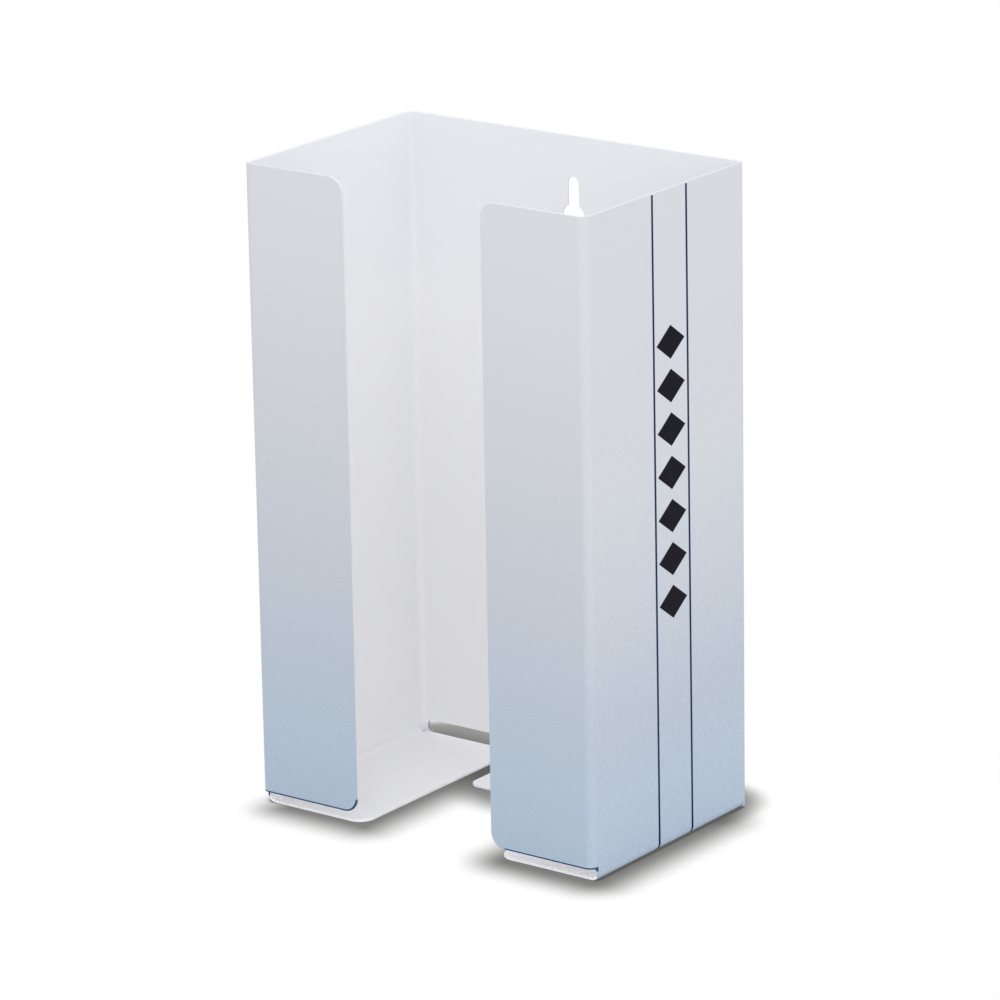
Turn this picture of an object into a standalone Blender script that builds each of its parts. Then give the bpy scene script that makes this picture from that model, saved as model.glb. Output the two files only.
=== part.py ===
"""Wall dispenser for a carton of disposable gloves, folded from one sheet of steel.

The sheet is drawn flat, as it leaves the laser, and then folded. Four upright bends make the back
wall, the two side walls and the two front flanges. Three bends along the foot turn in the flaps that
the carton stands on. The origin is at the middle of the base, +Z is up and the open front faces -Y.
"""
import math

import bmesh
import bpy
from mathutils import Vector

# Sheet and bends, in metres
SHEET = 0.0012
BEND_INSIDE_RADIUS = 0.0022
NEUTRAL_FIBRE = 0.42            # share of the sheet's thickness, from the inside of a bend
EDGE_ROUNDING = 0.00025         # coated edges are soft

# Outside of the folded body
BODY_WIDTH = 0.1565
BODY_DEPTH = 0.1027
BODY_HEIGHT = 0.254

# Front flanges
FLANGE_WIDTH = 0.0466           # from a side wall's outside to the free edge
FLANGE_CORNER_RADIUS = 0.0078

# Side flaps, the floor that the carton stands on
SIDE_FLAP_WIDTH = 0.0466        # from a side wall's outside to the free edge
SIDE_FLAP_CORNER_RADIUS = 0.0078
SIDE_FLAP_FRONT_SETBACK = 0.0004    # behind the end of the front bend
SIDE_FLAP_BACK_GAP = 0.0004     # to the inside of the back wall

# Back flap, between the side flaps
BACK_FLAP_LENGTH = 0.0418       # from the back wall's outside to the free edge
BACK_FLAP_CORNER_RADIUS = 0.0078
FLAP_GAP = 0.0072               # between the back flap and each side flap

# Cuts that let the bends fold
RELIEF_RADIUS = 0.0016          # inside corners where a flap meets a lifted edge
RELIEF_RISE = 0.0009            # from a flap's bend to the start of that corner
SLIT = 0.0004                   # between a back corner's foot and the side flap's bend
SLIT_OVERRUN = 0.0005           # past the end of the side flap's bend

# Keyhole in the back wall
KEYHOLE_SLOT_WIDTH = 0.0052
KEYHOLE_HEAD_DIAMETER = 0.0104
KEYHOLE_DROP = 0.0188           # from the top edge to the seat of the screw
KEYHOLE_TRAVEL = 0.0131         # from the seat of the screw to the head hole's centre

# Smoothness
CORNER_STEPS = 8                # facets in a right-angled corner of the outline
HEAD_STEPS = 24                 # facets in the keyhole's head hole
BEND_STEPS = 10                 # facets in a right-angled bend
EDGE_STEPS = 1                  # resolution of the soft edge

MERGE = 0.000002
FLAT_ANGLE = math.radians(0.1)
SHARP_ANGLE = math.radians(30)

COAT_COLOUR = (0.61, 0.66, 0.72, 1.0)
COAT_ROUGHNESS = 0.45

# Sizes that follow from the ones above
BEND_OUTSIDE_RADIUS = BEND_INSIDE_RADIUS + SHEET
BEND_LENGTH = (BEND_INSIDE_RADIUS + NEUTRAL_FIBRE * SHEET) * math.pi / 2
BACK_FLAP_WIDTH = BODY_WIDTH - 2 * (SIDE_FLAP_WIDTH + FLAP_GAP)

# Stations along the flat sheet, from the middle of the back wall outwards
BACK_END = BODY_WIDTH / 2 - BEND_OUTSIDE_RADIUS
SIDE_START = BACK_END + BEND_LENGTH
SIDE_END = SIDE_START + BODY_DEPTH - 2 * BEND_OUTSIDE_RADIUS
FLANGE_START = SIDE_END + BEND_LENGTH
FLANGE_END = FLANGE_START + FLANGE_WIDTH - BEND_OUTSIDE_RADIUS

# Heights on the flat sheet, where a flap hangs below its bend
FOLD_TOP = BEND_OUTSIDE_RADIUS
FOLD_BOTTOM = FOLD_TOP - BEND_LENGTH
EDGE_LIFT = FOLD_TOP + RELIEF_RISE + RELIEF_RADIUS      # lower edges of flanges and back wall
EAR_TOP = FOLD_BOTTOM - SLIT                            # where a side flap widens to the back
SIDE_FLAP_END = FOLD_BOTTOM - (SIDE_FLAP_WIDTH - BEND_OUTSIDE_RADIUS)
BACK_FLAP_END = FOLD_BOTTOM - (BACK_FLAP_LENGTH - BEND_OUTSIDE_RADIUS)
SIDE_FLAP_FRONT = SIDE_END - SIDE_FLAP_FRONT_SETBACK
SIDE_FLAP_BACK = SIDE_START - (BEND_OUTSIDE_RADIUS - SHEET - SIDE_FLAP_BACK_GAP)


def clear_scene():
    """Remove whatever the scene holds."""
    for thing in list(bpy.data.objects):
        bpy.data.objects.remove(thing, do_unlink=True)


def arc(centre, radius, start, turn, steps):
    """Points of an arc, both ends included, angles in radians."""
    angles = [start + turn * step / steps for step in range(steps + 1)]
    return [centre + radius * Vector((math.cos(angle), math.sin(angle))) for angle in angles]


def rounded_corner(before, corner, after, radius):
    """Points that round one right-angled corner of an outline."""
    if radius == 0:
        return [corner]
    arriving = (corner - before).normalized()
    leaving = (after - corner).normalized()
    centre = corner - radius * arriving + radius * leaving
    start = math.atan2(-leaving.y, -leaving.x)
    turn = math.copysign(math.pi / 2, arriving.cross(leaving))
    return arc(centre, radius, start, turn, CORNER_STEPS)


def rounded_outline(corners):
    """Closed outline through (place, radius) corners, without doubled points."""
    points = []
    for index, (corner, radius) in enumerate(corners):
        before = corners[index - 1][0]
        after = corners[(index + 1) % len(corners)][0]
        for point in rounded_corner(before, corner, after, radius):
            if not points or (point - points[-1]).length > MERGE:
                points.append(point)
    return points


def blank_outline():
    """Outline of the flat sheet, anticlockwise, from the back flap round to its other side."""
    flap_edge = BACK_FLAP_WIDTH / 2
    slot_radius = (EDGE_LIFT - SHEET) / 2
    toe = BACK_END - slot_radius
    slit_top = FOLD_TOP + SLIT_OVERRUN
    slit_edge = SIDE_START + SLIT
    half = [
        (flap_edge, BACK_FLAP_END, BACK_FLAP_CORNER_RADIUS),
        (flap_edge, EDGE_LIFT, RELIEF_RADIUS),
        (BACK_END, EDGE_LIFT, slot_radius),
        (BACK_END, SHEET, slot_radius),
        (toe, SHEET, 0),
        (toe, 0, 0),
        (SIDE_START, 0, 0),
        (SIDE_START, slit_top, 0),
        (slit_edge, slit_top, 0),
        (slit_edge, EAR_TOP, 0),
        (SIDE_FLAP_BACK, EAR_TOP, 0),
        (SIDE_FLAP_BACK, SIDE_FLAP_END, SIDE_FLAP_CORNER_RADIUS),
        (SIDE_FLAP_FRONT, SIDE_FLAP_END, SIDE_FLAP_CORNER_RADIUS),
        (SIDE_FLAP_FRONT, EDGE_LIFT, RELIEF_RADIUS),
        (FLANGE_END, EDGE_LIFT, FLANGE_CORNER_RADIUS),
        (FLANGE_END, BODY_HEIGHT, FLANGE_CORNER_RADIUS),
    ]
    right = [(Vector((across, up)), radius) for across, up, radius in half]
    left = [(Vector((-across, up)), radius) for across, up, radius in reversed(half)]
    return rounded_outline(right + left)


def keyhole_outline():
    """Outline of the keyhole, clockwise: a round seat on top, the head hole below."""
    half_slot = KEYHOLE_SLOT_WIDTH / 2
    head_radius = KEYHOLE_HEAD_DIAMETER / 2
    seat = Vector((0, BODY_HEIGHT - KEYHOLE_DROP))
    head = seat - Vector((0, KEYHOLE_TRAVEL))
    shoulder = math.asin(half_slot / head_radius)
    top = arc(seat, half_slot, math.pi, -math.pi, 2 * CORNER_STEPS)
    start = math.pi / 2 - shoulder
    bottom = arc(head, head_radius, start, -2 * (math.pi - shoulder), HEAD_STEPS)
    return top + bottom


def add_loop(curve, points):
    """Add a closed straight-sided spline to a curve."""
    spline = curve.splines.new("POLY")
    spline.points.add(len(points) - 1)
    for target, point in zip(spline.points, points):
        target.co = (point.x, point.y, 0, 1)
    spline.use_cyclic_u = True


def make_blank(collection):
    """The flat sheet as a closed mesh, its outside at +Z."""
    curve = bpy.data.curves.new("blank", "CURVE")
    curve.dimensions = "2D"
    curve.fill_mode = "BOTH"
    curve.extrude = SHEET / 2 - EDGE_ROUNDING
    curve.bevel_depth = EDGE_ROUNDING
    curve.bevel_resolution = EDGE_STEPS
    curve.offset = -EDGE_ROUNDING
    add_loop(curve, blank_outline())
    add_loop(curve, keyhole_outline())
    drawing = bpy.data.objects.new("blank", curve)
    collection.objects.link(drawing)
    bpy.context.view_layer.update()
    evaluated = drawing.evaluated_get(bpy.context.evaluated_depsgraph_get())
    mesh = bpy.data.meshes.new_from_object(evaluated)
    bpy.data.objects.remove(drawing, do_unlink=True)
    return mesh


def bend_stations(start):
    """Places of the facet lines across one bend of the flat sheet."""
    return [start + BEND_LENGTH * step / BEND_STEPS for step in range(BEND_STEPS + 1)]


def cut_along(bm, place, normal):
    """Divide every face that crosses a plane."""
    everything = bm.verts[:] + bm.edges[:] + bm.faces[:]
    bmesh.ops.bisect_plane(bm, geom=everything, dist=MERGE, plane_co=place, plane_no=normal)


def longest_edge(face):
    """The longest edge of a face."""
    return max(face.edges, key=lambda edge: edge.calc_length())


def merge_flats(bm):
    """Weld the blank's two sides to its rim and join their triangles into plain faces.

    A triangle whose corners lie on one line has no direction, so it is joined across its longest edge
    before the rest.
    """
    bmesh.ops.remove_doubles(bm, verts=bm.verts[:], dist=MERGE)
    needles = set()
    for face in bm.faces:
        longest = longest_edge(face)
        if face.calc_area() < MERGE * longest.calc_length():
            needles.add(longest)
    bmesh.ops.dissolve_edges(bm, edges=list(needles), use_verts=False)
    bmesh.ops.dissolve_limit(bm, angle_limit=FLAT_ANGLE, verts=bm.verts[:], edges=bm.edges[:])


def score_bends(bm):
    """Divide the flat sheet along the facet lines of every bend."""
    for station in bend_stations(BACK_END) + bend_stations(SIDE_END):
        cut_along(bm, (station, 0, 0), (1, 0, 0))
        cut_along(bm, (-station, 0, 0), (1, 0, 0))
    for height in bend_stations(FOLD_BOTTOM):
        cut_along(bm, (0, height, 0), (0, 1, 0))


def folded(distance, depth, flats):
    """Place on a strip that turns a right angle inwards after each of its flats.

    The strip starts at the origin and runs along the first axis. Depth is measured from its outside
    towards the second axis.
    """
    place = Vector((0, 0))
    ahead = Vector((1, 0))
    inward = Vector((0, 1))
    for flat in flats:
        if distance <= flat:
            break
        centre = place + flat * ahead + BEND_OUTSIDE_RADIUS * inward
        radius = BEND_OUTSIDE_RADIUS - depth
        angle = (distance - flat) / BEND_LENGTH * math.pi / 2
        if angle <= math.pi / 2:
            return centre + radius * (math.sin(angle) * ahead - math.cos(angle) * inward)
        place = centre + BEND_OUTSIDE_RADIUS * ahead
        ahead, inward = inward, -ahead
        distance -= flat + BEND_LENGTH
    return place + distance * ahead + depth * inward


def is_corner_foot(across, height):
    """Whether a low point of the flat sheet belongs to the foot of a back corner."""
    inside = BACK_FLAP_WIDTH / 2 + FLAP_GAP / 2
    return inside < across < SIDE_START + SLIT / 2 and height > EAR_TOP + SLIT / 2


def fold_point(point):
    """Place on the folded body of a point of the flat sheet."""
    across = abs(point.x)
    side = math.copysign(1, point.x)
    depth = SHEET / 2 - point.z
    if point.y >= FOLD_TOP or is_corner_foot(across, point.y):
        out, inset = folded(across, depth, [BACK_END, SIDE_END - SIDE_START])
        return Vector((side * out, BODY_DEPTH / 2 - inset, point.y))
    down, inset = folded(BODY_HEIGHT - point.y, depth, [BODY_HEIGHT - FOLD_TOP])
    height = BODY_HEIGHT - down
    if across < BACK_FLAP_WIDTH / 2 + FLAP_GAP / 2:
        return Vector((point.x, BODY_DEPTH / 2 - inset, height))
    forward = BEND_OUTSIDE_RADIUS + across - SIDE_START
    return Vector((side * (BODY_WIDTH / 2 - inset), BODY_DEPTH / 2 - forward, height))


def powder_coat():
    """Satin powder coat, a pale blue grey."""
    material = bpy.data.materials.new("powder_coat")
    material.use_nodes = True
    shader = material.node_tree.nodes["Principled BSDF"]
    shader.inputs["Base Color"].default_value = COAT_COLOUR
    shader.inputs["Roughness"].default_value = COAT_ROUGHNESS
    shader.inputs["Metallic"].default_value = 0.0
    material.diffuse_color = COAT_COLOUR
    return material


def make_folded_body(collection):
    """Draw the flat sheet, divide it at its bends and fold it.

    The fold swaps the blank's second and third axes, so its faces are turned round.
    """
    mesh = make_blank(collection)
    bm = bmesh.new()
    bm.from_mesh(mesh)
    merge_flats(bm)
    score_bends(bm)
    for vertex in bm.verts:
        vertex.co = fold_point(vertex.co)
    bmesh.ops.reverse_faces(bm, faces=bm.faces[:])
    bmesh.ops.triangulate(bm, faces=bm.faces[:])
    bm.to_mesh(mesh)
    bm.free()
    mesh.name = "folded_body"
    mesh.materials.append(powder_coat())
    mesh.shade_smooth()
    mesh.set_sharp_from_angle(angle=SHARP_ANGLE)
    body = bpy.data.objects.new("folded_body", mesh)
    collection.objects.link(body)
    return body


def main():
    clear_scene()
    collection = bpy.data.collections.new("glove_dispenser")
    bpy.context.scene.collection.children.link(collection)
    make_folded_body(collection)


main()
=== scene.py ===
# %% [markdown]
# A wall dispenser for a carton of disposable gloves. The real one is a single sheet of steel: a
# laser cuts its flat outline, a press brake folds it seven times, and a powder coat covers it.
# This lesson makes it in the same order. The sheet is drawn flat, its corners are rounded, it is
# folded line by line, and only then does it get a thickness, soft edges and its coat.

# %% Load the frame
import math

import bpy
from mathutils import Matrix, Vector


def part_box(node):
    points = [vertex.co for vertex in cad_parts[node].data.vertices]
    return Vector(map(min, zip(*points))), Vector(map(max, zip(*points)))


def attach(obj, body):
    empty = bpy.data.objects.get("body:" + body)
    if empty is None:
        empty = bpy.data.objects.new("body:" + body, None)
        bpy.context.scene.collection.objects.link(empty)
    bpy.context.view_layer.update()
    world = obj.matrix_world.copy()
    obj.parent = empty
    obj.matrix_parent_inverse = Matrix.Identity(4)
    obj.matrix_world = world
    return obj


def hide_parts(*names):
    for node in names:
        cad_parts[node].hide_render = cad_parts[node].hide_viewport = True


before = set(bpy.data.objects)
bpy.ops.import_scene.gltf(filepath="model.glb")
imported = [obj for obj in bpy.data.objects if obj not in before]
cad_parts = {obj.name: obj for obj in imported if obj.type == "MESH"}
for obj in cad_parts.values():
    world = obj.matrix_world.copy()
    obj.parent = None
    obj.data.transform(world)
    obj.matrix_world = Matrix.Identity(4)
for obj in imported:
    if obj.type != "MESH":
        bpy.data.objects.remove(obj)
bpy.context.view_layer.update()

MM = 1000                       # millimetres in a metre
low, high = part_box("folded_body")
WIDTH, DEPTH, HEIGHT = high - low
BACK = high.y
print(f"frame: {WIDTH * MM:.1f} x {DEPTH * MM:.1f} x {HEIGHT * MM:.1f} mm")

# %% [markdown]
# Sizes are in metres. The outside of the folded body comes from the frame. What the frame doesn't
# name is written here once: the sheet, its bends, the flaps and the small cuts that let it fold. A
# bend is folded in ten small steps, so its outside is ten short chords, and the flat sheet is
# drawn with the length of those chords between its walls.

# %% Sizes of the sheet
SHEET = 0.0012
BEND_RADIUS = 0.0034            # outside of a bend
BEND_STEPS = 10
BEND_TURN = math.pi / 2 / BEND_STEPS
BEND_CHORD = 2 * BEND_RADIUS * math.sin(BEND_TURN / 2)
BEND_FLAT = BEND_STEPS * BEND_CHORD
FLANGE_WIDTH = 0.0466
SIDE_FLAP_WIDTH = 0.0466
BACK_FLAP_LENGTH = 0.0418
FLAP_GAP = 0.0072               # between the back flap and a side flap
CORNER_RADIUS = 0.0062          # free corners of flanges and side flaps
BACK_CORNER_RADIUS = 0.0042     # free corners of the back flap
RELIEF_RADIUS = 0.0016          # inside corners where the back flap meets the lifted edge
RELIEF_RISE = 0.0009
FRONT_DROP = 0.0004             # the flanges hang this much lower than the back wall's edge
FRONT_RELIEF_RADIUS = 0.0020    # inside corner where a side flap meets a flange's lower edge
SLIT = 0.0002                   # frees a side flap from the back corner
SLIT_OVERRUN = 0.0001
FOOT_RADIUS = 0.0015            # end of the foot that stands under a back corner
FOOT_LIFT = 0.0007              # the rest of the corner's lower edge, beside the foot
FRONT_SETBACK = 0.0004          # side flap, behind the end of the front bend
BACK_GAP = 0.0004               # side flap, to the inside of the back wall
NEAR = 0.00002                  # two places closer than this are the same

# Stations across the flat sheet, from its middle to the right
BACK_FLAP_EDGE = WIDTH / 2 - SIDE_FLAP_WIDTH - FLAP_GAP
BACK_END = WIDTH / 2 - BEND_RADIUS      # the walls are level up to here, where their bends start
FOOT_EDGE = BACK_END + BEND_FLAT / 2
SIDE_START = BACK_END + BEND_FLAT
SIDE_END = SIDE_START + DEPTH - 2 * BEND_RADIUS
FLANGE_START = SIDE_END + BEND_FLAT
FLANGE_END = FLANGE_START + FLANGE_WIDTH - BEND_RADIUS
SLIT_EDGE = SIDE_START + SLIT
FLAP_FRONT = SIDE_END - FRONT_SETBACK
FLAP_BACK = SIDE_START - (BEND_RADIUS - SHEET - BACK_GAP)

# Heights on the flat sheet
FOLD_TOP = BEND_RADIUS
FOLD_BOTTOM = FOLD_TOP - BEND_FLAT
EDGE_LIFT = FOLD_TOP + RELIEF_RISE + RELIEF_RADIUS
FRONT_LIFT = EDGE_LIFT - FRONT_DROP
SLIT_TOP = FOLD_TOP + SLIT_OVERRUN
EAR_TOP = FOLD_BOTTOM - SLIT    # below it a side flap reaches further back
SIDE_FLAP_END = FOLD_BOTTOM - (SIDE_FLAP_WIDTH - BEND_RADIUS)
BACK_FLAP_END = FOLD_BOTTOM - (BACK_FLAP_LENGTH - BEND_RADIUS)
SLOT_RADIUS = (EDGE_LIFT - SHEET) / 2
print(f"flat sheet: {2 * FLANGE_END * MM:.1f} x {(HEIGHT - SIDE_FLAP_END) * MM:.1f} mm")

# %% [markdown]
# Operators act on what is selected, so every step starts by choosing vertices, edges or faces by
# their place. These helpers do that, and they leave the object in edit mode, ready for the next
# operator.


# %% Select by place
def only(piece):
    """Leave edit mode and make one object the only selected and active one."""
    if bpy.context.object and bpy.context.object.mode != "OBJECT":
        bpy.ops.object.mode_set(mode="OBJECT")
    bpy.ops.object.select_all(action="DESELECT")
    piece.select_set(True)
    bpy.context.view_layer.objects.active = piece


def pick_vertices(piece, wanted):
    """Select the vertices whose place passes a test, then enter edit mode."""
    only(piece)
    mesh = piece.data
    for part in (*mesh.polygons, *mesh.edges):
        part.select = False
    for vertex in mesh.vertices:
        vertex.select = bool(wanted(vertex))
    bpy.ops.object.mode_set(mode="EDIT")
    bpy.ops.mesh.select_mode(type="VERT")


def pick_numbered_edges(piece, numbers):
    """Select the edges with these numbers, then enter edit mode."""
    only(piece)
    bpy.ops.object.mode_set(mode="EDIT")
    bpy.ops.mesh.select_mode(type="EDGE")
    bpy.ops.mesh.select_all(action="DESELECT")
    bpy.ops.object.mode_set(mode="OBJECT")
    for number in numbers:
        piece.data.edges[number].select = True
    bpy.ops.object.mode_set(mode="EDIT")


def ends_of(mesh, edge):
    """The places of an edge's two ends."""
    return [mesh.vertices[index].co for index in edge.vertices]


def pick_edges(piece, wanted):
    """Select the edges whose two ends pass a test, then enter edit mode."""
    only(piece)
    mesh = piece.data
    passed = {edge.index for edge in mesh.edges if wanted(*ends_of(mesh, edge))}
    pick_numbered_edges(piece, passed)


def same(*values):
    """Whether all the values are one place."""
    return max(values) - min(values) < NEAR


def push(across=0.0, along=0.0, up=0.0):
    """Extrude what is selected and move it."""
    bpy.ops.mesh.extrude_region_move(TRANSFORM_OT_translate={"value": (across, along, up)})


def finish_edit():
    """Weld double points and go back to object mode."""
    bpy.ops.mesh.select_all(action="SELECT")
    bpy.ops.mesh.remove_doubles(threshold=NEAR)
    bpy.ops.object.mode_set(mode="OBJECT")


# %% [markdown]
# The sheet is the same on both sides of its middle, so only the right half is drawn. It starts as
# a plane for half of the back wall, standing at the back with its outside facing back. Extruding
# its side edge again and again gives the side wall and the front flange, with a narrow strip for
# each bend.


# %% Draw half of the flat sheet: the walls
bpy.ops.object.select_all(action="DESELECT")
bpy.ops.mesh.primitive_plane_add(
    size=1,
    location=(BACK_END / 2, BACK, (EDGE_LIFT + HEIGHT) / 2),
    rotation=(-math.pi / 2, 0, 0),
)
body = bpy.context.object
body.name = "glove_dispenser_body"
body.data.name = "glove_dispenser_body"
body.dimensions = (BACK_END, HEIGHT - EDGE_LIFT, 0)
bpy.ops.object.transform_apply(location=True, rotation=True, scale=True)

pick_edges(body, lambda a, b: same(a.x, b.x, BACK_END))
for length in (BEND_FLAT, DEPTH - 2 * BEND_RADIUS, BEND_FLAT, FLANGE_WIDTH - BEND_RADIUS):
    push(across=length)
finish_edit()
print(f"walls: {len(body.data.polygons)} strips")

# %% [markdown]
# The flaps, the feet of the back corners and the slits hang below the walls. Bisect first marks
# the stations between them on the walls' lower edge, and each stretch is then pushed down to its
# own depth. A foot stands under half of its corner's bend only, so that the other half ends in
# line with the bend of the side flap beside it. Last, the lower edges of the flanges move down a
# little.


# %% Draw half of the flat sheet: flaps and feet
def cut(piece, place, normal):
    """Divide every face that a plane crosses."""
    only(piece)
    bpy.ops.object.mode_set(mode="EDIT")
    bpy.ops.mesh.select_all(action="SELECT")
    bpy.ops.mesh.bisect(plane_co=place, plane_no=normal)
    bpy.ops.object.mode_set(mode="OBJECT")


def pick_level(piece, height, start, end):
    """Select the level edges at a height between two stations."""
    inside = lambda p: start - NEAR < p.x < end + NEAR and same(p.z, height)
    pick_edges(piece, lambda a, b: inside(a) and inside(b))


for station in (BACK_FLAP_EDGE, FOOT_EDGE, SLIT_EDGE, FLAP_FRONT):
    cut(body, (station, BACK, 0), (1, 0, 0))

pick_level(body, EDGE_LIFT, 0, BACK_FLAP_EDGE)
push(up=BACK_FLAP_END - EDGE_LIFT)
pick_level(body, EDGE_LIFT, BACK_END, FLAP_FRONT)
push(up=SLIT_TOP - EDGE_LIFT)
pick_level(body, SLIT_TOP, BACK_END, SIDE_START)
push(up=SHEET - SLIT_TOP)
pick_level(body, SHEET, BACK_END, SIDE_START)
push(up=FOOT_LIFT - SHEET)
pick_level(body, FOOT_LIFT, BACK_END, FOOT_EDGE)
push(up=-FOOT_LIFT)
pick_level(body, SLIT_TOP, SLIT_EDGE, FLAP_FRONT)
push(up=EAR_TOP - SLIT_TOP)
push(up=SIDE_FLAP_END - EAR_TOP)
pick_edges(body, lambda a, b: same(a.x, b.x, BACK_END) and max(a.z, b.z) < SHEET + NEAR)
push(across=-FOOT_RADIUS)
pick_edges(body, lambda a, b: same(a.x, b.x, SLIT_EDGE) and max(a.z, b.z) < EAR_TOP + NEAR)
push(across=FLAP_BACK - SLIT_EDGE)
pick_vertices(body, lambda v: same(v.co.z, EDGE_LIFT) and v.co.x > FLAP_FRONT - NEAR)
bpy.ops.transform.translate(value=(0, 0, -FRONT_DROP))
finish_edit()
print(f"flat half: {len(body.data.polygons)} strips")

# %% [markdown]
# Limited dissolve turns the strips into one face with a plain outline. Its corners can then be
# rounded with a vertex bevel. Each kind of corner has its own radius, as the laser cuts it: free
# corners are large, and the inside ones, where the sheet has to clear its neighbour as it folds,
# are small.


# %% Round the corners
FLAT_ANGLE = math.radians(0.2)
LARGE_STEPS = 16                # chords in a rounded corner
MIDDLE_STEPS = 12
SMALL_STEPS = 8


def join_flats(piece):
    """Weld double points and dissolve the lines between faces that lie in one plane."""
    only(piece)
    bpy.ops.object.mode_set(mode="EDIT")
    bpy.ops.mesh.select_all(action="SELECT")
    bpy.ops.mesh.remove_doubles(threshold=NEAR)
    bpy.ops.mesh.dissolve_limited(angle_limit=FLAT_ANGLE)
    bpy.ops.object.mode_set(mode="OBJECT")


def round_corners(piece, corners, radius, steps):
    """Bevel the vertices at these places of the flat sheet."""
    at_corner = lambda v: any(same(v.co.x, x) and same(v.co.z, z) for x, z in corners)
    pick_vertices(piece, at_corner)
    bpy.ops.mesh.bevel(
        offset_type="OFFSET", offset=radius, segments=steps, profile=0.5, affect="VERTICES"
    )
    finish_edit()


join_flats(body)
free_corners = [
    (FLAP_BACK, SIDE_FLAP_END),
    (FLAP_FRONT, SIDE_FLAP_END),
    (FLANGE_END, FRONT_LIFT),
    (FLANGE_END, HEIGHT),
]
round_corners(body, free_corners, CORNER_RADIUS, LARGE_STEPS)
round_corners(body, [(BACK_FLAP_EDGE, BACK_FLAP_END)], BACK_CORNER_RADIUS, MIDDLE_STEPS)
round_corners(body, [(BACK_FLAP_EDGE, EDGE_LIFT)], RELIEF_RADIUS, SMALL_STEPS)
round_corners(body, [(FLAP_FRONT, FRONT_LIFT)], FRONT_RELIEF_RADIUS, SMALL_STEPS)
round_corners(body, [(BACK_END, EDGE_LIFT)], SLOT_RADIUS, SMALL_STEPS)
round_corners(body, [(BACK_END, SHEET)], FOOT_RADIUS, SMALL_STEPS)
print(f"outline: {len(body.data.polygons)} face, {len(body.data.vertices)} points")


# %% [markdown]
# Every bend is marked with eleven lines across the flat sheet. A sheet that turns by a small angle
# on each line in turn comes out as a bend with a real radius. The outer lines turn by half an
# angle only, so that the ten chords between them touch the walls on both sides at a tangent.


# %% Mark the fold lines
def fold_lines(start, step):
    """Places of a bend's lines, from the part that stays to the part that moves."""
    return [start + step * number for number in range(BEND_STEPS + 1)]


back_lines = fold_lines(BACK_END, BEND_CHORD)
front_lines = fold_lines(SIDE_END, BEND_CHORD)
flap_lines = fold_lines(FOLD_TOP, -BEND_CHORD)
for line in back_lines + front_lines:
    cut(body, (line, BACK, 0), (1, 0, 0))
for line in flap_lines:
    cut(body, (0, BACK, line), (0, 0, 1))
flat_places = [vertex.co.copy() for vertex in body.data.vertices]
print(f"marked sheet: {len(body.data.polygons)} faces")

# %% [markdown]
# A press brake folds the outermost bends first, while the rest is still flat. The same order helps
# here: a line that is folded later still lies where it was drawn, so each turn has a centre that
# is known from the drawing. What lies beyond a line is chosen by its place on the flat sheet, and
# a side flap goes with its side wall. Rotate is given its centre, because without a window it
# would turn about the origin.


# %% Fold the sheet
def turns():
    """Angle at each line of a bend."""
    return [BEND_TURN / 2] + [BEND_TURN] * (BEND_STEPS - 1) + [BEND_TURN / 2]


def fold(piece, lines, beyond, axis, direction):
    """Turn what lies beyond each line of a bend, from the farthest line to the nearest."""
    for line, turn in reversed(list(zip(lines, turns()))):
        centre = (line, BACK, 0) if axis == "Z" else (0, BACK, line)
        pick_vertices(piece, lambda vertex: beyond(flat_places[vertex.index], line))
        bpy.ops.transform.rotate(value=direction * turn, orient_axis=axis, center_override=centre)
        bpy.ops.object.mode_set(mode="OBJECT")


def on_side_flap(place):
    """Whether a place of the flat sheet belongs to a side flap or its bend."""
    return place.z < SLIT_TOP + NEAR and place.x > SLIT_EDGE - NEAR or on_ear(place)


def on_ear(place):
    """Whether a place belongs to the stretch of a side flap that reaches back past its bend."""
    return place.z < EAR_TOP + NEAR and place.x > FLAP_BACK - NEAR


def on_back_flap(place):
    """Whether a place belongs to the back flap or its bend."""
    return place.x < BACK_FLAP_EDGE + NEAR


fold(body, flap_lines, lambda p, line: on_back_flap(p) and p.z < line - NEAR, "X", 1)
fold(body, flap_lines, lambda p, line: on_side_flap(p) and p.z < line - NEAR, "X", 1)
fold(body, front_lines, lambda p, line: p.x > line + NEAR, "Z", 1)
fold(body, back_lines, lambda p, line: on_ear(p) or p.x > line + NEAR, "Z", 1)
print(f"folded half: {len(body.data.polygons)} faces")

# %% [markdown]
# Mirror makes the other half. Its faces are wound the other way, so the normals are recalculated
# while the sheet is still one open skin. Solidify then gives it its thickness, inwards from the
# outside that was drawn, and keeps that thickness through the bends.


# %% Mirror it and give it a thickness
def add_modifier(piece, kind, **settings):
    """Add a modifier with these settings and apply it."""
    only(piece)
    modifier = piece.modifiers.new(kind.title(), kind)
    for name, value in settings.items():
        setattr(modifier, name, value)
    bpy.ops.object.modifier_apply(modifier=modifier.name)


add_modifier(body, "MIRROR", merge_threshold=NEAR)
join_flats(body)
bpy.ops.object.mode_set(mode="EDIT")
bpy.ops.mesh.select_all(action="SELECT")
bpy.ops.mesh.normals_make_consistent(inside=False)
bpy.ops.object.mode_set(mode="OBJECT")
outward = max(body.data.polygons, key=lambda face: face.area).normal
print(f"largest face looks towards y {outward.y:+.2f}")
add_modifier(body, "SOLIDIFY", thickness=SHEET, offset=-1, use_even_offset=True)
print(f"sheet: {len(body.data.polygons)} faces")

# %% [markdown]
# A keyhole lets the dispenser hang on a screw: the head goes in through the round hole, and the
# shank then slides up the slot to its seat. The slot's cutter is a cylinder whose lower half is
# pulled down, and the head's cutter is a plain cylinder. Two Boolean modifiers take them out of
# the back wall.

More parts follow.
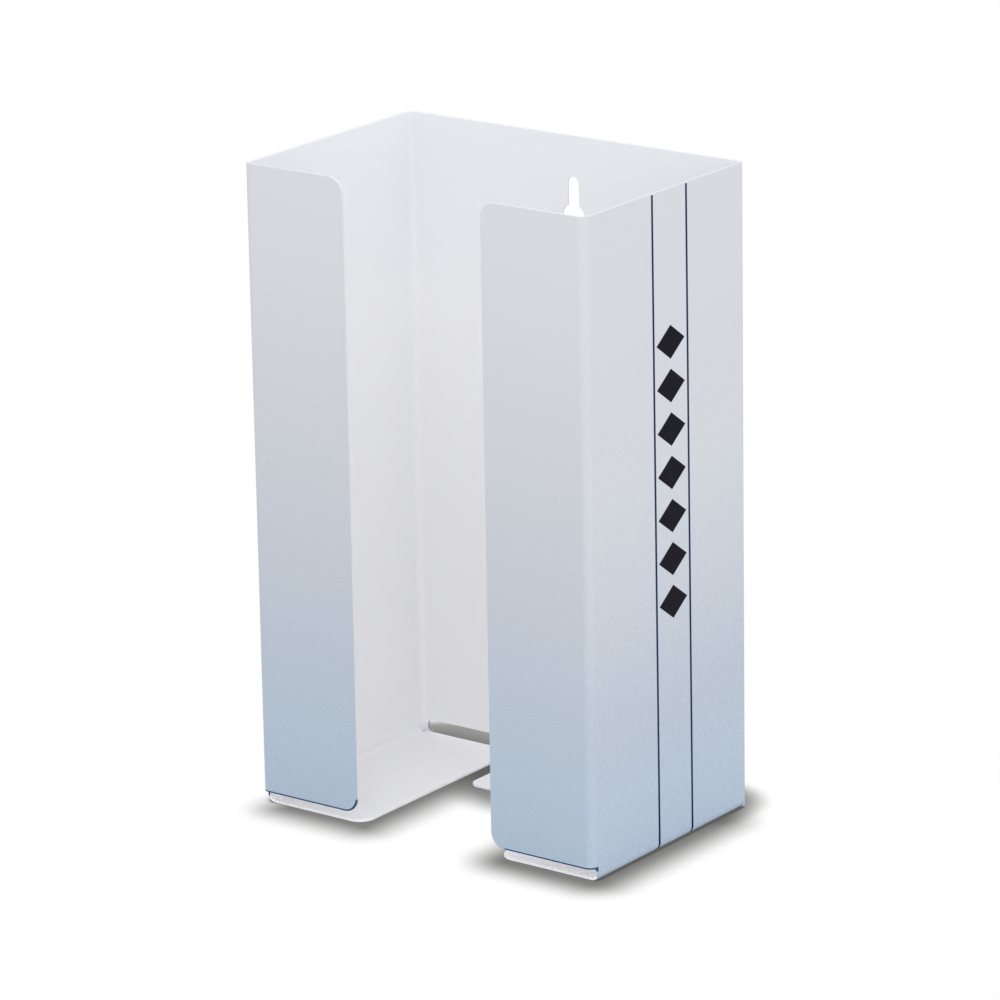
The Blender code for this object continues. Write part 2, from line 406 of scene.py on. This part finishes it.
# %% Cut the keyhole
SLOT_WIDTH = 0.0052
HEAD_DIAMETER = 0.0104
SEAT_DROP = 0.0188              # from the top edge
SEAT_TO_HEAD = 0.0131
CUTTER_DEPTH = 0.006
CUTTER_SIDES = 48


def add_cutter(name, radius, height):
    """A cylinder that stands through the back wall."""
    bpy.ops.object.select_all(action="DESELECT")
    bpy.ops.mesh.primitive_cylinder_add(
        vertices=CUTTER_SIDES,
        radius=radius,
        depth=CUTTER_DEPTH,
        location=(0, BACK, height),
        rotation=(math.pi / 2, 0, 0),
    )
    cutter = bpy.context.object
    cutter.name = name
    bpy.ops.object.transform_apply(location=True, rotation=True, scale=True)
    return cutter


def subtract(piece, cutter):
    """Cut a solid out of a piece and remove the cutter."""
    add_modifier(piece, "BOOLEAN", operation="DIFFERENCE", object=cutter)
    bpy.data.objects.remove(cutter)


seat_height = HEIGHT - SEAT_DROP
slot_cutter = add_cutter("slot_cutter", SLOT_WIDTH / 2, seat_height)
pick_vertices(slot_cutter, lambda vertex: vertex.co.z < seat_height - NEAR)
bpy.ops.transform.translate(value=(0, 0, -SEAT_TO_HEAD))
bpy.ops.object.mode_set(mode="OBJECT")
subtract(body, slot_cutter)
subtract(body, add_cutter("head_cutter", HEAD_DIAMETER / 2, seat_height - SEAT_TO_HEAD))
print(f"with its keyhole: {len(body.data.polygons)} faces")

# %% [markdown]
# Powder coat flows back from a cut edge and leaves it soft. Only the long edges of the rim get a
# bevel: they are sharp, and both their ends lie on one side of the sheet. The two cuts beside the
# feet are too narrow for one and stay sharp. Smooth shading with weighted normals then keeps the
# walls flat and lets the bends shine as round ones.

# %% Soften the cut edges
EDGE_SOFTNESS = 0.00034
EDGE_STEPS = 2
RIM_ANGLE = math.radians(60)    # faces that meet at more than this have a rim's edge between them
SMOOTH_ANGLE = math.radians(40)
BEND_AXIS = DEPTH / 2 - BEND_RADIUS     # how far from the middle the front and back bends turn


def depth_below_outside(place):
    """How far a place lies inside the outside of the folded body."""
    across = max(abs(place.x) - BACK_END, 0)
    along = max(abs(place.y) - BEND_AXIS, 0)
    below = max(BEND_RADIUS - place.z, 0)
    return BEND_RADIUS - math.sqrt(across**2 + along**2 + below**2)


def beside_slit(place):
    """Whether a place is on one of the two cuts that free the side flaps."""
    return abs(place.y - (BEND_AXIS - SLIT / 2)) < SLIT and place.z < SLIT_TOP + NEAR


def sharp_edges(mesh):
    """Numbers of the edges where the sheet's faces meet its rim."""
    faces_of = {}
    for face in mesh.polygons:
        for key in face.edge_keys:
            faces_of.setdefault(key, []).append(face.normal)
    found = set()
    for edge in mesh.edges:
        first, second = ends_of(mesh, edge)
        across_sheet = not same(depth_below_outside(first), depth_below_outside(second))
        if across_sheet or beside_slit(first) and beside_slit(second):
            continue
        one, other = faces_of[tuple(sorted(edge.vertices))]
        if one.angle(other) > RIM_ANGLE:
            found.add(edge.index)
    return found


def soften(piece):
    """Bevel the long edges of the rim."""
    rim = sharp_edges(piece.data)
    pick_numbered_edges(piece, rim)
    bpy.ops.mesh.bevel(offset=EDGE_SOFTNESS, segments=EDGE_STEPS, profile=0.5, affect="EDGES")
    finish_edit()
    return len(rim)


def keep_inside(piece, lowest, highest):
    """Bring points that a bevel pushed out of the frame's box back to its faces."""
    farthest = 0
    for vertex in piece.data.vertices:
        place = Vector(min(max(v, a), b) for v, a, b in zip(vertex.co, lowest, highest))
        farthest = max(farthest, (place - vertex.co).length)
        vertex.co = place
    return farthest


print(f"rim: {soften(body)} edges softened")
print(f"brought back into the box by up to {keep_inside(body, low, high) * MM:.3f} mm")
only(body)
bpy.ops.object.shade_smooth_by_angle(angle=SMOOTH_ANGLE)
add_modifier(body, "WEIGHTED_NORMAL", keep_sharp=True, weight=100)
body_box = [Vector(map(f, zip(*(v.co for v in body.data.vertices)))) for f in (min, max)]
print("body box:", *(f"{size * MM:.2f}" for size in body_box[1] - body_box[0]), "mm")
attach(body, "root")
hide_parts("folded_body")


# %% [markdown]
# Materials are written as sums. The class below wraps a shader socket, and each operator on it
# adds a Math node. Every other node comes from its one method, which sets the node's own settings
# first and then gives its sockets a value or a link.


# %% Shader sums
WHITE_LEVEL = 255               # of a screen


def from_screen(red, green, blue):
    """A colour as the screen shows it, made linear for the shader by the sRGB curve."""
    shares = (red / WHITE_LEVEL, green / WHITE_LEVEL, blue / WHITE_LEVEL)
    linear = [c / 12.92 if c < 0.04045 else ((c + 0.055) / 1.055) ** 2.4 for c in shares]
    return (*linear, 1.0)


class Wire:
    """A shader socket that can be added, multiplied and compared."""

    def __init__(self, tree, socket=None):
        self.tree = tree
        self.socket = socket

    def node(self, kind, settings, sockets, output=0):
        """Add a node: its settings first, then the values or links of its sockets."""
        made = self.tree.nodes.new(kind)
        for name, value in settings.items():
            if name == "stops":
                set_stops(made.color_ramp.elements, value)
            else:
                setattr(made, name, value)
        for name, value in sockets.items():
            if isinstance(value, Wire):
                self.tree.links.new(value.socket, made.inputs[name])
            else:
                made.inputs[name].default_value = value
        return Wire(self.tree, made.outputs[output])

    def math(self, operation, *others):
        """A Math node on this value and the others."""
        values = dict(enumerate((self, *others)))
        return self.node("ShaderNodeMath", {"operation": operation}, values)

    def __add__(self, other):
        return self.math("ADD", other)

    def __sub__(self, other):
        return self.math("SUBTRACT", other)

    def __rsub__(self, other):
        return self.math("MULTIPLY", -1).math("ADD", other)

    def __mul__(self, other):
        return self.math("MULTIPLY", other)

    def __truediv__(self, other):
        return self.math("DIVIDE", other)

    def __pow__(self, other):
        return self.math("POWER", other)

    def __abs__(self):
        return self.math("ABSOLUTE")

    __radd__ = __add__
    __rmul__ = __mul__

    def at_least(self, other):
        """The larger of two values."""
        return self.math("MAXIMUM", other)

    def at_most(self, other):
        """The smaller of two values."""
        return self.math("MINIMUM", other)

    def above(self, limit):
        """1 where the value is above a limit, 0 elsewhere."""
        return self.math("GREATER_THAN", limit)

    def rise(self, start, end):
        """A soft step from 0 to 1 as the value goes from start to end."""
        return self.node(
            "ShaderNodeMapRange",
            {"interpolation_type": "SMOOTHSTEP"},
            {"Value": self, "From Min": start, "From Max": end},
        )

    def blend(self, first, second):
        """A colour between two, which are sockets 6 and 7, by a value from 0 to 1."""
        settings = {"data_type": "RGBA"}
        return self.node("ShaderNodeMix", settings, {0: self, 6: first, 7: second}, output=2)


def set_stops(elements, stops):
    """Give a colour ramp its places and colours."""
    while len(elements) < len(stops):
        elements.new(1.0)
    for element, (place, colour) in zip(elements, stops):
        element.position = place
        element.color = colour


def new_finish(name):
    """An empty material, a wire to build on, and the output that it ends in."""
    material = bpy.data.materials.new(name)
    material.use_nodes = True
    tree = material.node_tree
    tree.nodes.clear()
    output = tree.nodes.new("ShaderNodeOutputMaterial")
    return material, Wire(tree), output


print("shader sums ready")

# %% [markdown]
# The coat reads the place on the object in metres. Its depth below the rounded box around the
# folded body is zero on the outside and one sheet on the inside, which tells the two sides apart.
# A foot isn't bent in under the body, so its depth is measured from the wall above it. Across a
# cut edge the outside's colour turns into the near white of the inside.

# %% Masks of the coat
SOFT_LINE = 0.00012             # half the width over which one colour turns into the next
RIM_DEPTH = SHEET               # how far into a cut edge the outside's colour reaches
FLAP_RIM_DEPTH = 0.0003         # the same on the flaps, which lie on the floor
CUT_MARGIN = 0.0002             # a cut edge starts this far into the sheet


def place_on_object(wire):
    """The place on the object in metres, whole and in its three parts."""
    place = wire.node("ShaderNodeTexCoord", {}, {}, output="Object")
    parts = [
        wire.node("ShaderNodeSeparateXYZ", {}, {"Vector": place}, output=axis) for axis in "XYZ"
    ]
    return place, *parts


def back_corner(across, along):
    """1 on the two back corners of the body, which end in the feet, and 0 elsewhere."""
    return abs(across).above(BACK_END - FOOT_RADIUS) * along.above(BEND_AXIS)


def depth_in_sheet(across, along, height):
    """How far below the outside of the folded body a place is."""
    beyond_across = (abs(across) - BACK_END).at_least(0)
    beyond_along = (abs(along) - BEND_AXIS).at_least(0)
    below = (BEND_RADIUS - height).at_least(0) * (1 - back_corner(across, along))
    return BEND_RADIUS - (beyond_across**2 + beyond_along**2 + below**2) ** 0.5


def outside_mask(depth, across, along, height):
    """1 on the outside of the sheet, 0 on its inside, and less and less across a cut edge."""
    off_flaps = height.rise(SHEET, 2 * SHEET).at_least(back_corner(across, along))
    limit = FLAP_RIM_DEPTH + off_flaps * (RIM_DEPTH - FLAP_RIM_DEPTH)
    return 1 - depth.rise(0, limit)


def between(value, start, end):
    """1 where a value lies between two others, with soft borders."""
    past_end = value.rise(end - SOFT_LINE, end + SOFT_LINE)
    return value.rise(start - SOFT_LINE, start + SOFT_LINE) * (1 - past_end)


def band(value, middle, half):
    """1 where a value lies within half of a middle, with soft borders."""
    return 1 - abs(value - middle).rise(half - SOFT_LINE, half + SOFT_LINE)


print(f"outside colour ends {RIM_DEPTH * MM:.2f} mm into the sheet")

# %% [markdown]
# The print is dark blue: two fine stripes down the right wall, with a column of seven plain
# lozenges between them. The column repeats, so one lozenge is drawn round the nearest place of a
# row: the height is folded back into one step of the row. The whole print on the wall leans back
# a little towards its foot. Shade is painted as well: a fine dark line along the lower edge of
# each front flange, where the gap above the flap lies in shade, that ends in the notch beside it
# and darkens the notch's cut edges, and darker short cut edges in the slots at the back, in shade.

# %% Print and painted shade
PRINT_LEAN = 0.0057             # how far the print moves back for each metre down from the top
STRIPE_PLACES = (-0.0094, 0.0123)
STRIPE_HALF = 0.0006
STRIPE_TOP = HEIGHT - 0.0004
MARK_PLACE = 0.00135
MARK_COUNT = 7
MARK_TOP = 0.1960
MARK_STEP = 0.0167
MARK_HALF_WIDTH = 0.0090
MARK_HALF_HEIGHT = 0.0065
# Painted shade: a dark line along the flanges' lower edge, where the gap above the flaps lies in
# shade
SHADE_LINE_WIDTH = 0.0007
SHADE_LINE_FADE = 0.001               # the line runs out over this length at its ends
FRONT_BLEND = 0.00068           # and round the bend, where the front ends
LEFT_NOTCH_SHADE_END = 0.0026         # the painted shade in a notch reaches down to this height
RIGHT_NOTCH_SHADE_END = 0.0041


def on_print(along, height):
    """The place along the right wall, measured on its print, which leans."""
    return along - PRINT_LEAN * (HEIGHT - height)


def right_wall(across):
    """1 on the right wall, 0 elsewhere."""
    return across.rise(BACK_END, BACK_END + BEND_RADIUS / 2)


def stripes(across, along, height):
    """Two fine stripes down the right wall."""
    printed = on_print(along, height)
    first, second = (band(printed, place, STRIPE_HALF) for place in STRIPE_PLACES)
    past_top = height.rise(STRIPE_TOP - SOFT_LINE, STRIPE_TOP + SOFT_LINE)
    return (first + second) * right_wall(across) * (1 - past_top)


def marks(across, along, height):
    """Seven lozenges between the stripes."""
    number = (MARK_TOP - height) / MARK_STEP
    nearest = number.at_least(0).at_most(MARK_COUNT - 1).math("ROUND")
    off_height = abs(number - nearest) * (MARK_STEP / MARK_HALF_HEIGHT)
    off_along = abs(on_print(along, height) - MARK_PLACE) / MARK_HALF_WIDTH
    softness = SOFT_LINE / MARK_HALF_HEIGHT
    inside = 1 - (off_height + off_along).rise(1 - softness, 1 + softness)
    return inside * right_wall(across)


def edge_shade_line(across, along, height):
    """Painted shade: a fine dark line along the flanges' lower edge, where the gap above the flaps
    is in shade, on the left one also round its corner.
    """
    corner_place = WIDTH / 2 - FLANGE_WIDTH + CORNER_RADIUS
    corner_height = FRONT_LIFT + CORNER_RADIUS
    on_left = 1 - across.rise(-SHADE_LINE_FADE, SHADE_LINE_FADE)
    to_corner = (corner_place - abs(across)).at_least(0) * on_left
    down = (corner_height - height).at_least(0)
    from_edge = CORNER_RADIUS - (to_corner**2 + down**2) ** 0.5
    near_edge = 1 - from_edge.rise(SHADE_LINE_WIDTH - SOFT_LINE, SHADE_LINE_WIDTH + SOFT_LINE)
    before_corner = (abs(across) - corner_place).rise(-SHADE_LINE_FADE, SHADE_LINE_FADE)
    on_front = (-1 * along).rise(BEND_AXIS - FRONT_BLEND, BEND_AXIS)
    return near_edge * on_front * (before_corner + on_left).at_most(1) * down.rise(0, SHADE_LINE_FADE)


def shaded_notch_edges(depth, across, along, height):
    """Painted shade on the cut edges of the notches at the outer ends of the flanges."""
    on_cut = between(depth, CUT_MARGIN, SHEET - CUT_MARGIN)
    notch_back = FRONT_SETBACK - BEND_AXIS
    in_front = 1 - along.rise(notch_back, notch_back + FRONT_SETBACK)
    on_right = across.rise(-SOFT_LINE, SOFT_LINE)
    lowest = LEFT_NOTCH_SHADE_END + on_right * (RIGHT_NOTCH_SHADE_END - LEFT_NOTCH_SHADE_END)
    past_top = height.rise(FRONT_LIFT, FRONT_LIFT + SOFT_LINE)
    return on_cut * in_front * (height - lowest).rise(0, SOFT_LINE) * (1 - past_top)


def shaded_slot_edges(depth, across, along, height):
    """Painted shade on the cut edges at the ends of the slots in the back wall's foot."""
    on_cut = between(depth, CUT_MARGIN, SHEET - CUT_MARGIN)
    at_end = abs(across).above(BACK_END - SLOT_RADIUS - FOOT_RADIUS)
    at_back = along.rise(BACK - 2 * SHEET, BACK - SHEET)
    return on_cut * at_end * at_back * between(height, SOFT_LINE, EDGE_LIFT + SOFT_LINE)


print(f"{MARK_COUNT} marks, {MARK_STEP * MM:.1f} mm apart")

# %% [markdown]
# Powder coat is satin and never quite smooth: it has a fine orange peel and a faint speckle. Two
# noises at a real scale make them, one as a bump and one as a small change of colour and gloss.
# The outside fades from a pale grey at the top to a pale blue at the foot, a little later on the
# side walls than in front. The inside is near white, with painted shade that makes it a little
# darker at its top edge and on the flaps. Colour ramps over the height hold the fades. The print
# on the wall is raised to Metallic 1: as a plain paint it would mirror a little of the white room
# and look grey, and as a metal of its own dark colour it stays nearly black.

# %% Powder coat
FADE = [
    (0.03, from_screen(171, 188, 205)),
    (0.23, from_screen(180, 191, 204)),
    (0.41, from_screen(190, 196, 205)),
    (0.59, from_screen(197, 201, 207)),
    (0.78, from_screen(202, 205, 211)),
    (0.97, from_screen(208, 209, 214)),
]
SIDE_FADE = [
    (0.03, from_screen(176, 192, 209)),
    (0.23, from_screen(183, 192, 205)),
    (0.41, from_screen(195, 201, 209)),
    (0.59, from_screen(202, 206, 211)),
    (0.78, from_screen(202, 205, 211)),
    (0.97, from_screen(204, 206, 211)),
]
# Painted shade: the near white inside is darker at its top edge and on the flaps
INSIDE_WHITE_AND_SHADE = [
    (0.008, from_screen(245, 245, 248)),
    (0.020, from_screen(253, 253, 254)),
    (0.700, from_screen(252, 252, 254)),
    (1.000, from_screen(236, 237, 241)),
]
STRIPE_COLOUR = from_screen(2, 34, 86)
MARK_COLOUR = from_screen(1, 1, 20)
# Painted shade: the dark line under the flanges and on the cut edges of their notches
SHADE_LINE_COLOUR = from_screen(22, 56, 104)
# Painted shade: the cut edges in the back slots, which lie in shade
SLOT_EDGE_SHADE = from_screen(120, 128, 146)
SPECKLE_COLOUR = from_screen(120, 136, 160)
PEEL = {"Scale": 900, "Detail": 1.0}
PEEL_HEIGHT = 0.000012
PEEL_STRENGTH = 0.5
SPECKLE = {"Scale": 1500, "Detail": 2.0}
SPECKLE_SPAN = (0.36, 0.66)     # values of the noise over which a speckle appears
SPECKLE_FADE = (0.1, 1.0)       # shares of the height over which the speckle dies out
SPECKLE_STRENGTH = 0.19
ROUGHNESS = 0.42
ROUGHNESS_SPREAD = 0.1
COAT_IOR = 1.33


def powder_coat():
    """The coat of the whole sheet, with its print and its painted shade."""
    material, wire, output = new_finish("powder_coat_finish")
    place, across, along, height = place_on_object(wire)
    depth = depth_in_sheet(across, along, height)
    outside = outside_mask(depth, across, along, height)

    share_up = height / HEIGHT
    front_fade, side_fade, inside = (
        wire.node("ShaderNodeValToRGB", {"stops": stops}, {"Fac": share_up})
        for stops in (FADE, SIDE_FADE, INSIDE_WHITE_AND_SHADE)
    )
    fade = abs(across).rise(BACK_END, BACK_END + BEND_RADIUS).blend(front_fade, side_fade)
    noise = wire.node("ShaderNodeTexNoise", {}, {"Vector": place, **SPECKLE})
    speckle = noise.rise(*SPECKLE_SPAN) * (1 - share_up.rise(*SPECKLE_FADE)) * SPECKLE_STRENGTH
    colour = outside.blend(inside, speckle.blend(fade, SPECKLE_COLOUR))
    stripe_ink = outside * stripes(across, along, height)
    mark_ink = outside * marks(across, along, height)
    colour = stripe_ink.blend(colour, STRIPE_COLOUR)
    colour = mark_ink.blend(colour, MARK_COLOUR)
    # Painted shade: the dark line under the flanges, and the darker cut edges of the notches and
    # slots
    colour = (outside * edge_shade_line(across, along, height)).blend(colour, SHADE_LINE_COLOUR)
    colour = shaded_notch_edges(depth, across, along, height).blend(colour, SHADE_LINE_COLOUR)
    colour = shaded_slot_edges(depth, across, along, height).blend(colour, SLOT_EDGE_SHADE)

    peel = wire.node("ShaderNodeTexNoise", {}, {"Vector": place, **PEEL})
    relief = {"Height": peel, "Strength": PEEL_STRENGTH, "Distance": PEEL_HEIGHT}
    surface = {
        "Base Color": colour,
        "Metallic": stripe_ink + mark_ink,
        "Roughness": ROUGHNESS + ROUGHNESS_SPREAD * noise,
        "IOR": COAT_IOR,
        "Normal": wire.node("ShaderNodeBump", {}, relief),
    }
    coat = wire.node("ShaderNodeBsdfPrincipled", {}, surface)
    wire.tree.links.new(coat.socket, output.inputs["Surface"])
    return material


body.data.materials.clear()
body.data.materials.append(powder_coat())
print(f"coat: {len(body.data.materials[0].node_tree.nodes)} nodes")

# %% [markdown]
# The object stands on a plain floor that fills the view. The camera, and what mirrors the floor,
# see it as white paper with a soft shadow that hugs the object. The shadow has four patches, one
# under each part that lies on the floor or stands over it, and each patch is a rectangle with
# round corners and soft borders. Where patches overlap, the light that each lets through is
# multiplied. An Ambient Occlusion node adds the thin dark line right beside the sheet. Other rays
# meet a plain white floor, so it sends a normal amount of light back up.

# %% Floor
FLOOR_SIZE = 12.0
PAPER_WHITE = (1.0, 1.0, 1.0, 1.0)
FLOOR_WHITE = (0.86, 0.86, 0.86, 1.0)
CONTACT_REACH = 0.006
CONTACT_SPAN = (0.0, 0.62)      # hidden shares over which the thin dark line appears
CONTACT_SAMPLES = 16
SHADOW_COLOUR = from_screen(94, 93, 91)

# The patches of shadow under the parts that lie on the floor. Each has its left, right, front and
# back edge, then how far inside it the shadow is full, how far outside it is gone, how round its
# corners are, and how deep it is. Lengths are in millimetres.
SHADOW_PATCHES = [
    (-73, -24, -55.5, 50, 9.5, 15, 6, 0.92),     # left flap
    (27, 87.5, -58.5, 41, 9.5, 12, 12, 0.89),    # right flap
    (-29, 29, 2, 57, 3, 17, 26, 0.83),           # back flap
    (-85.5, 79, 39, 48, 1.5, 11, 20, 0.77),      # back wall
]


def shadow_patch(across, along, left, right, front, back, inner, outer, rounding, depth):
    """How dark the floor is, from 0 to 1, near a rectangle that lies on it."""
    beyond = []
    for place, start, end in ((across, left, right), (along, front, back)):
        core = max((end - start) / 2 - rounding, 0)
        beyond.append((abs(place - (start + end) / 2) - core).at_least(0))
    distance = (beyond[0] ** 2 + beyond[1] ** 2) ** 0.5 - rounding
    return (1 - distance.rise(-inner, outer)) * depth


def floor_finish():
    """White paper with a shadow near the object."""
    material, wire, output = new_finish("floor_paper")
    _, across, along, _ = place_on_object(wire)
    light = 1
    for patch in SHADOW_PATCHES:
        light = light * (1 - shadow_patch(across * MM, along * MM, *patch))
    occlusion = {"samples": CONTACT_SAMPLES}, {"Distance": CONTACT_REACH}
    open_share = wire.node("ShaderNodeAmbientOcclusion", *occlusion, output="AO")
    shade = (1 - open_share).rise(*CONTACT_SPAN).at_least(1 - light)
    paper = shade.blend(PAPER_WHITE, SHADOW_COLOUR)
    seen = wire.node("ShaderNodeEmission", {}, {"Color": paper})
    lit = wire.node("ShaderNodeBsdfDiffuse", {}, {"Color": FLOOR_WHITE})
    camera_ray, mirror_ray = (
        wire.node("ShaderNodeLightPath", {}, {}, output=ray)
        for ray in ("Is Camera Ray", "Is Glossy Ray")
    )
    looked_at = camera_ray.at_least(mirror_ray)
    mixed = wire.node("ShaderNodeMixShader", {}, {0: looked_at, 1: lit, 2: seen})
    wire.tree.links.new(mixed.socket, output.inputs["Surface"])
    return material


bpy.ops.object.select_all(action="DESELECT")
bpy.ops.mesh.primitive_plane_add(size=FLOOR_SIZE, location=(0, 0, 0))
floor = bpy.context.object
floor.name = "floor"
floor.data.materials.append(floor_finish())
print(f"floor: {FLOOR_SIZE:.0f} m square")

# %% [markdown]
# The light is that of a white studio: an even white world at a plain level, and three large soft
# panels. The one at the side and the one in front make the right wall a little brighter than the
# front, and the one above lights the flaps that lie on the floor.

# %% Light
WORLD_COLOUR = (1.0, 1.0, 1.0, 1.0)
WORLD_LEVEL = 0.96
SIDE_PANEL = dict(size=1.2, power=3.2, place=(2.0, 0, 0.5))
FRONT_PANEL = dict(size=1.2, power=5.5, place=(1.25, -1.5, 0.5))
TOP_PANEL = dict(size=0.8, power=4.8, place=(0, -0.1, 1.6))


def add_panel(name, size, power, place):
    """A square soft light that looks at the middle of the object."""
    bpy.ops.object.light_add(type="AREA", location=place)
    panel = bpy.context.object
    panel.name = name
    panel.data.size = size
    panel.data.energy = power
    towards = Vector((0, 0, HEIGHT / 2)) - Vector(place)
    panel.rotation_euler = towards.to_track_quat("-Z", "Y").to_euler()


world = bpy.data.worlds.new("studio")
bpy.context.scene.world = world
world.use_nodes = True
background = world.node_tree.nodes["Background"]
background.inputs["Color"].default_value = WORLD_COLOUR
background.inputs["Strength"].default_value = WORLD_LEVEL
add_panel("side_panel", **SIDE_PANEL)
add_panel("front_panel", **FRONT_PANEL)
add_panel("top_panel", **TOP_PANEL)
print("light: world and 3 panels")

# %% [markdown]
# The camera looks at the object from its front right and a little from above, through a long lens,
# as the photographer did. Its angles, its distance and its small roll were fitted to the straight
# edges in the photograph, and its place follows from them.

# %% Camera
AZIMUTH = math.radians(36.7)
ELEVATION = math.radians(17)
ROLL = math.radians(-0.99)
LENS = 202.6                    # millimetres
SENSOR_WIDTH = 36               # millimetres
DISTANCE = 2.1243               # from the middle of the front edge, along the view
ASIDE = 0.0287                  # from there to the right, as the picture shows it
RAISED = 0.1298                 # and up

back_axis = Vector(
    (
        math.sin(AZIMUTH) * math.cos(ELEVATION),
        -math.cos(AZIMUTH) * math.cos(ELEVATION),
        math.sin(ELEVATION),
    )
)
level_axis = Vector((math.cos(AZIMUTH), math.sin(AZIMUTH), 0))
tilted_axis = back_axis.cross(level_axis)
right_axis = level_axis * math.cos(ROLL) + tilted_axis * math.sin(ROLL)
up_axis = tilted_axis * math.cos(ROLL) - level_axis * math.sin(ROLL)
front_middle = Vector((0, -DEPTH / 2, 0))
camera_place = front_middle + ASIDE * right_axis + RAISED * up_axis + DISTANCE * back_axis

bpy.ops.object.camera_add(location=camera_place)
camera = bpy.context.object
camera.data.lens = LENS
camera.data.sensor_width = SENSOR_WIDTH
camera.rotation_euler = Matrix((right_axis, up_axis, back_axis)).transposed().to_euler()
bpy.context.scene.camera = camera
bpy.context.scene.view_settings.view_transform = "Standard"
print("camera at", *(f"{value:.3f}" for value in camera_place))
